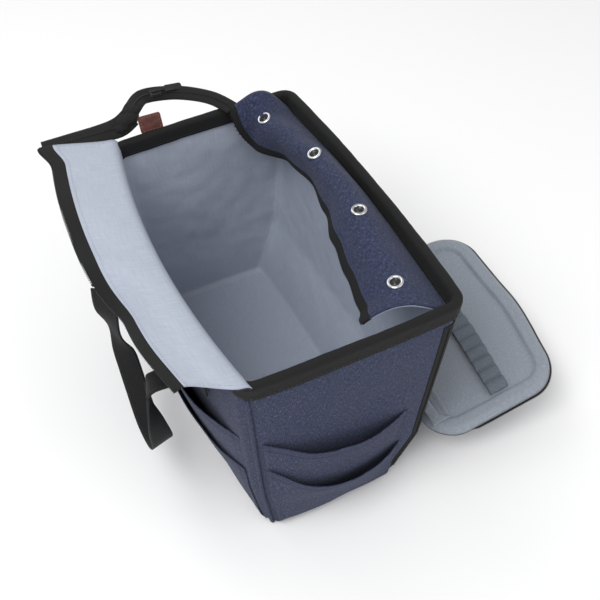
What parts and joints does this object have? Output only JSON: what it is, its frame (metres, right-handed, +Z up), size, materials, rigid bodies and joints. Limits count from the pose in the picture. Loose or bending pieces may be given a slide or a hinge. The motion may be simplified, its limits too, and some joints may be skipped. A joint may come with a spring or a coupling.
{
  "type": "knitting bag",
  "caption": "Open-topped rectangular fabric knitting bag with folding zip flaps, yarn grommets, patch pockets, webbing handles and a fold-down hook case.",
  "frame": {"origin": "underside of the base, below the middle of the rim", "axes": "+X along the bag to its far end, -Y to the front with the hook case, +Z up"},
  "size_m": [0.495, 0.4842, 0.2778],
  "materials": {
    "navy_fabric": "heathered woven oxford",
    "grey_lining": "smooth coated lining",
    "case_lining": "soft grey-blue lining",
    "black_webbing": "ribbed webbing and tape",
    "zip_coil": "moulded coil",
    "elastic": "ribbed elastic",
    "foam": "closed-cell foam",
    "board": "stiff board",
    "leather": "smooth brown leather",
    "grommet_metal": "polished plated metal",
    "slider_metal": "black enamel"
  },
  "bodies": {
    "bag": {"near_end_panel": "navy_fabric", "far_end_panel": "navy_fabric", "back_panel": "navy_fabric", "front_panel": "navy_fabric", "bottom_panel": "navy_fabric", "base_board": "board", "near_end_foam": "foam", "far_end_foam": "foam", "back_foam": "foam", "front_foam": "foam", "lining": "grey_lining", "rim_stiffener": "board", "rim_binding": "black_webbing", "corner_piping": "navy_fabric", "near_upper_pocket": "navy_fabric", "near_lower_pocket": "navy_fabric", "far_upper_pocket": "navy_fabric", "far_lower_pocket": "navy_fabric", "back_upper_pocket": "navy_fabric", "back_lower_pocket": "navy_fabric", "back_handle_roots": "black_webbing", "front_handle_roots": "black_webbing", "case_wall_zip": "black_webbing", "case_hinge_web": "navy_fabric", "zip_tail": "black_webbing", "zip_end_tab": "leather"},
    "back_flap": {"back_flap_cover": "navy_fabric", "back_flap_lining": "grey_lining", "back_zip_tape": "black_webbing", "back_zip_coil": "zip_coil"},
    "front_flap": {"front_flap_cover": "navy_fabric", "front_flap_lining": "grey_lining", "front_zip_tape": "black_webbing", "front_zip_coil": "zip_coil", "grommets": "grommet_metal", "grommet_washers": "grommet_metal"},
    "hook_case": {"case_outer": "navy_fabric", "case_padding": "foam", "case_lining": "case_lining", "case_binding": "black_webbing", "case_zip_tape": "black_webbing", "case_elastic": "elastic", "case_slip_pocket": "case_lining"},
    "back_handle": {"back_handle": "black_webbing"},
    "front_handle": {"front_handle": "black_webbing"},
    "zip_slider": {"zip_slider": "slider_metal"},
    "zip_puller": {"zip_puller": "leather"},
    "case_slider": {"case_slider": "slider_metal"},
    "case_puller": {"case_puller": "slider_metal"}
  },
  "joints": [
    {"name": "back_flap_fold", "type": "hinge", "parent": "bag", "child": "back_flap", "pos_m": [0, 0.136, 0.273], "axis": [1, 0, 0], "range_deg": [0, 186]},
    {"name": "front_flap_fold", "type": "hinge", "parent": "bag", "child": "front_flap", "pos_m": [0, -0.103, 0.273], "axis": [1, 0, 0], "range_deg": [-38, 150]},
    {"name": "case_fold", "type": "hinge", "parent": "bag", "child": "hook_case", "pos_m": [-0.075, -0.095, 0.05], "axis": [-1, 0, 0], "range_deg": [-18, 70]},
    {"name": "back_handle_swing", "type": "hinge", "parent": "bag", "child": "back_handle", "pos_m": [-0.04, 0.183, 0.232], "axis": [1, 0, 0], "range_deg": [-5, 130]},
    {"name": "front_handle_swing", "type": "hinge", "parent": "bag", "child": "front_handle", "pos_m": [0, -0.1255, 0.2437], "axis": [-1, 0, 0], "range_deg": [0, 165]},
    {"name": "zip_travel", "type": "slide", "parent": "bag", "child": "zip_slider", "axis": [0, -1, 0], "range_m": [0, 0.026]},
    {"name": "zip_puller_lift", "type": "hinge", "parent": "zip_slider", "child": "zip_puller", "pos_m": [0.262, 0.03, 0.2772], "axis": [-1, 0, 0], "range_deg": [0, 150]},
    {"name": "case_zip_travel", "type": "slide", "parent": "bag", "child": "case_slider", "axis": [0, -0.1595, 0.9872], "range_m": [0, 0.12]},
    {"name": "case_puller_lift", "type": "hinge", "parent": "case_slider", "child": "case_puller", "pos_m": [0.066, -0.0937, 0.0827], "axis": [-1, 0, 0], "range_deg": [0, 60]}
  ]
}
